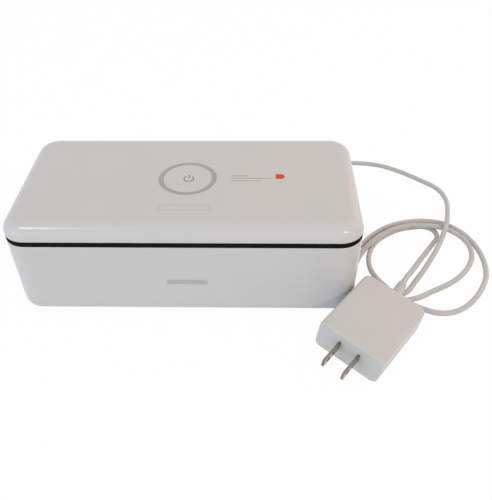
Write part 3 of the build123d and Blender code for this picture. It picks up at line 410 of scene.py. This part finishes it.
def patch(loop, hole=None):
    """Closed plate of ink: loop(s) of points in its plane, at depths 0 and INK, joined by rims."""
    loops = [np.asarray(points, float) for points in ((loop,) if hole is None else (loop, hole))]
    count = len(loops[0])
    layers = [np.column_stack([points, np.full(count, depth)]) for points in loops for depth in (0.0, INK)]
    here = np.arange(count)
    after = (here + 1) % count

    def band(first, second):
        """Quads between two layers, given by their numbers."""
        return np.column_stack([first * count + here, first * count + after,
                                second * count + after, second * count + here]).tolist()

    if hole is None:
        return np.concatenate(layers), [here[::-1].tolist(), (count + here).tolist()] + band(0, 1)
    return np.concatenate(layers), band(0, 1) + band(1, 3) + band(3, 2) + band(2, 0)


def printed(name, plates, origin, across, up, material, body, slot):
    """One mesh of ink plates, laid on a plane by its origin (metres) and its two directions."""
    across, up = np.array(across, float), np.array(up, float)
    axes = np.stack([across, up, np.cross(across, up)])
    points, faces, start = [], [], 0
    for vertices, polygons in plates:
        points.append(vertices @ axes * MM + np.array(origin))
        faces += [[start + index for index in polygon] for polygon in polygons]
        start += len(vertices)
    made(name, np.concatenate(points), faces, material, body)


def stroke(path, width):
    """Outline of a line of a given width: its right side out and its left side back."""
    path = np.asarray(path, float)
    along = np.gradient(path, axis=0)
    along /= np.linalg.norm(along, axis=1, keepdims=True)
    side = np.column_stack([-along[:, 1], along[:, 0]]) * width / 2
    return np.concatenate([path - side, (path + side)[::-1]])


def rounded(left, low, right, high, radius, steps=5):
    """Rectangle with round corners, anticlockwise, whose arcs share a point where they meet."""
    quarter = np.linspace(0, np.pi / 2, steps)
    centres = [(right - radius, high - radius), (left + radius, high - radius),
               (left + radius, low + radius), (right - radius, low + radius)]
    turns = [quarter + i * np.pi / 2 for i in range(4)]
    outline = np.concatenate([np.column_stack([x + radius * np.cos(t), y + radius * np.sin(t)])
                              for (x, y), t in zip(centres, turns)])
    step = np.linalg.norm(outline - np.roll(outline, 1, axis=0), axis=1)
    return outline[step > SAME_POINT]


def ink(name, colour, worn, specular=0.5):
    """Pad ink: even film whose tone is broken slightly over 2 mm, with a relief grain of 0.3 mm."""
    return moulded(name, colour, worn, (0.34, 0.42), 0.3, 0.002, 2.0, Specular_IOR_Level=specular)


ON_LID = ((0, 0, LID_TOP), (1, 0, 0), (0, 1, 0))
ON_BUTTON = ((0, 0, BUTTON_FACE), (1, 0, 0), (0, 1, 0))
WALL_UP = (0, -np.sin(WALL_DRAFT), np.cos(WALL_DRAFT))
ON_FRONT = ((0, -SEAL_HALF_DEPTH * MM, SEAM_LEVEL * MM), (1, 0, 0), WALL_UP)

sign_turn = np.radians(90 + np.linspace(SIGN_GAP / 2, 360 - SIGN_GAP / 2, 72))
sign_arc = SIGN_CENTRE + SIGN_RADIUS * np.column_stack([np.cos(sign_turn), np.sin(sign_turn)])
printed("power_sign", [patch(stroke(sign_arc, SIGN_LINE)), patch(stroke(SIGN_BAR, SIGN_LINE))], *ON_BUTTON,
        ink("dark grey pad ink", "#5A5653", "#605C59"), "button", "button")
printed("orange_tag", [patch(TAG)], *ON_LID,
        ink("orange pad ink", "#E84A1E", "#E2451A", specular=0.2), "lid", "shell")
printed("hairlines", [patch(rounded(left, middle - width / 2, right, middle + width / 2, width / 2))
                      for left, right, middle, width in HAIRLINES], *ON_LID,
        ink("pale brown pad ink", "#938983", "#998F89"), "lid", "shell")

frame_hole = FRAME_EDGES + FRAME_LINE * np.array([1, 1, -1, -1])
frame_rim = patch(rounded(*FRAME_EDGES, FRAME_CORNER), rounded(*frame_hole, FRAME_CORNER - FRAME_LINE))
printed("faint_frame", [frame_rim], *ON_LID,
        ink("faint grey pad ink", "#B3AEAB", "#B7B2AF"), "lid", "shell")
printed("front_bar", [patch(rounded(*BAR_EDGES, BAR_CORNER))], *ON_FRONT,
        ink("mid grey pad ink", "#B3B5B6", "#B8BABB"), "base", "shell")


# Mains adapter: a two-part moulded ABS shell, a shade duller than the box, with two folded
# nickel-plated brass blades set in its face. Handling has dulled the blades' flats to a brown
# grey; the plating's streaks run along the blades, which point away from the shell.
BLADE_WAY = np.radians(-37.0)
dress(moulded("moulded adapter ABS", "#D0CDCB", "#CCCAC7", (0.3, 0.38), 0.4, 0.005, 30.0), "adapter_shell")


def blade_surface(tree, position):
    """Streaks along the blades: noise turned to their heading and drawn out along it."""
    turned = add(tree, "Mapping", {"Vector": position, "Rotation": (0, 0, -BLADE_WAY)}).outputs[0]
    streak = grain(tree, turned, 0.5, (1.0, 14.0, 1.0))
    cloud = grain(tree, position, 5.0)
    tone = blended(tree, spread(tree, streak, 0.0, 1.0), "#8C8177", "#6E645B")
    return {"Base_Color": blended(tree, spread(tree, cloud, 0.0, 1.0), tone, "#92877B"),
            "Roughness": spread(tree, streak, 0.2, 0.32), "Normal": relief(tree, streak, 0.004)}


dress(finish("worn nickel plated brass", blade_surface, Metallic=1.0),
      "adapter_blade_left", "adapter_blade_right")


# Lead: a 1.1 m two-core lead with a soft TPE jacket, 3.5 mm thick, light grey. It leaves the inlet
# plug behind the box, is dropped in loose loops on the right, and ends in the adapter's boot.
CORD_DIAMETER = 3.5
CORD_ROUTE = [
    (72, 86.5, 18), (72, 96.5, 18), (73, 108, 13.5), (77.5, 117, 6), (88, 123.5, 2), (100, 126, 1.8),
    (113.5, 126.5, 1.8), (139.5, 124.5, 1.8), (157, 114.5, 1.8), (172.5, 100.5, 1.8), (184.5, 89, 1.8),
    (187.9, 73, 2.2), (183.8, 53, 5.5), (179, 36, 9.3), (174.6, 24.5, 9), (169.3, 13.4, 6.8),
    (162.5, 2.3, 4.4), (155.1, -8.8, 2.2), (146.9, -20.6, 2.1), (141.2, -30.5, 4.2), (136.6, -36.5, 6.9),
    (129.1, -38.9, 6.6), (120.9, -37.5, 3.6), (113.2, -35.1, 1.8), (105.1, -36.2, 1.8),
    (100.6, -41.7, 1.8), (101.3, -48.7, 1.8), (106.8, -53.2, 1.8), (113.8, -52.5, 1.8),
    (118.9, -47.2, 1.8), (125.1, -43.1, 2.2), (133.1, -41.9, 4.6), (140.6, -41.2, 6.2),
    (147, -37.4, 4.4), (154, -31, 2.2), (160.9, -26.8, 1.8), (168.6, -22.4, 1.8),
    (176.8, -15.9, 1.8), (184.6, -7, 1.8), (190.6, 4.2, 1.8), (192.3, 17, 1.8), (189, 27.4, 1.8),
    (182, 33.8, 2.8), (173.5, 34.5, 5.5), (162.5, 36, 5.6), (151, 36.2, 5.5), (138, 30.6, 5.5),
    (129.3, 22.8, 5.7), (122, 15.6, 5.7), (115, 8.6, 2.4), (109, -4.5, 1.8), (104, -19, 1.8),
    (93, -25, 1.8), (81.5, -20, 1.8), (79, -8.5, 1.8), (86.5, 1.5, 1.8), (99, 4, 1.8), (107.6, 7, 1.8),
    (114.8, 15.6, 1.8), (122.4, 26, 1.8), (134.7, 37.8, 1.8), (150.9, 45.2, 1.8), (168.8, 46.8, 1.8),
    (183.3, 41.2, 1.8), (193.7, 27.2, 1.8), (198.1, 8.6, 1.8), (196.5, -12.5, 1.8), (188.5, -27.9, 1.8),
    (180.8, -37.8, 1.8), (172.8, -44.9, 1.8), (164.2, -48.8, 1.8), (155.8, -49, 1.8), (148, -45.6, 1.8),
    (141, -41.2, 1.8), (134.6, -35.4, 1.8), (128.2, -27, 1.8), (122.4, -17.8, 1.8), (119, -7.5, 1.8),
    (119.2, 3.7, 1.8), (122.7, 15, 1.8), (130.5, 26.1, 1.8), (144.9, 36, 1.8), (155.8, 38.6, 1.8),
    (164.7, 39.7, 1.8), (171, 35.2, 1.8), (171.7, 26.4, 1.8), (166.4, 19.3, 1.8), (158.7, 7.8, 2.2),
    (150.9, -5, 4.5), (143.7, -18.3, 8.5), (138.7, -27.6, 13.24), (134.79, -34.57, 13.07),
]

jacket = bpy.data.curves.new("power_lead", "CURVE")
jacket.dimensions = "3D"
jacket.bevel_depth = CORD_DIAMETER / 2 * MM
jacket.bevel_resolution = 5
jacket.use_fill_caps = True
jacket.resolution_u = 8
run = jacket.splines.new("NURBS")
run.points.add(len(CORD_ROUTE) - 1)
route = np.array(CORD_ROUTE) * MM
run.points.foreach_set("co", np.column_stack([route, np.ones(len(route))]).ravel())
run.order_u = 3
run.use_endpoint_u = True
lead = bpy.data.objects.new("power_lead", jacket)
bpy.context.scene.collection.objects.link(lead)
jacket.materials.append(moulded("extruded TPE jacket", "#CBC8C6", "#C6C3C1", (0.36, 0.46),
                                0.5, 0.006, 25.0))
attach(lead, "base")
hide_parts("power_cord")


# Table and studio: white paper on a table in an even pale room, lit by a small window-like lamp
# high on the left, a wide cool one low on the left, a narrow one high in front and a wide warm one
# on the right. Paper and room are plain white where seen directly or in gloss and glass.
TABLE_HALF = 3.0
WHITE = 1.0
GLOW_SHARE = 0.97
ROOM_LEVEL = 0.587


def seen_directly(tree):
    """1 for rays from the camera, from gloss or through glass, 0 for light that falls on the object."""
    rays = add(tree, "LightPath").outputs
    either = add(tree, "Math", {0: rays["Is Camera Ray"], 1: rays["Is Glossy Ray"]}, operation="MAXIMUM")
    sockets = {0: either.outputs[0], 1: rays["Is Transmission Ray"]}
    return add(tree, "Math", sockets, operation="MAXIMUM").outputs[0]


def softbox(name, toward, distance, size, power, colour):
    """Rectangular lamp that faces the box from a direction, with its distance and sides in metres."""
    lamp = bpy.data.lights.new(name, "AREA")
    lamp.shape = "RECTANGLE"
    lamp.size, lamp.size_y = size
    lamp.energy = power
    lamp.color = linear(colour)[:3]
    held = bpy.data.objects.new(name, lamp)
    way = Vector(toward).normalized()
    facing = way.to_track_quat("Z", "Y").to_matrix().to_4x4()
    held.matrix_world = Matrix.Translation(way * distance) @ facing
    bpy.context.scene.collection.objects.link(held)


table_mesh = bpy.data.meshes.new("table")
corners = [(i * TABLE_HALF, j * TABLE_HALF, 0) for i, j in ((-1, -1), (1, -1), (1, 1), (-1, 1))]
table_mesh.from_pydata(corners, [], [(0, 1, 2, 3)])
table = bpy.data.objects.new("table", table_mesh)
bpy.context.scene.collection.objects.link(table)

paper = bpy.data.materials.new("white table paper")
paper.use_nodes = True
tree = paper.node_tree
tree.nodes.clear()
matt = add(tree, "BsdfDiffuse", {"Color": linear("#F2F2F2")}).outputs[0]
glow = add(tree, "Emission", {"Color": linear("#FFFFFF"), "Strength": WHITE}).outputs[0]
shown = add(tree, "MixShader", {0: GLOW_SHARE, 1: matt, 2: glow}).outputs[0]
surface = add(tree, "MixShader", {0: seen_directly(tree), 1: matt, 2: shown}).outputs[0]
add(tree, "OutputMaterial", {"Surface": surface})
table_mesh.materials.append(paper)

world = bpy.data.worlds.new("studio")
bpy.context.scene.world = world
world.use_nodes = True
tree = world.node_tree
tree.nodes.clear()
room = add(tree, "Background", {"Color": linear("#FFFCF9"), "Strength": ROOM_LEVEL}).outputs[0]
white = add(tree, "Background", {"Color": linear("#FFFFFF"), "Strength": WHITE}).outputs[0]
surface = add(tree, "MixShader", {0: seen_directly(tree), 1: room, 2: white}).outputs[0]
add(tree, "OutputWorld", {"Surface": surface})

softbox("window", (-0.5, -0.45, 1.03), 1.22, (0.2, 0.15), 1.5, "#DAF0FF")
softbox("left fill", (-0.9, -0.85, 0.3), 2.5, (2.0, 1.3), 14.5, "#BEE2FF")
softbox("front strip", (0.72, -1.0, 0.95), 1.3, (0.3, 0.1), 2.6, "#FFF4E6")
softbox("right end", (1.0, 0.55, 0.6), 1.1, (1.0, 1.0), 2.3, "#FFD2A2")
bpy.context.scene.view_settings.view_transform = "Standard"
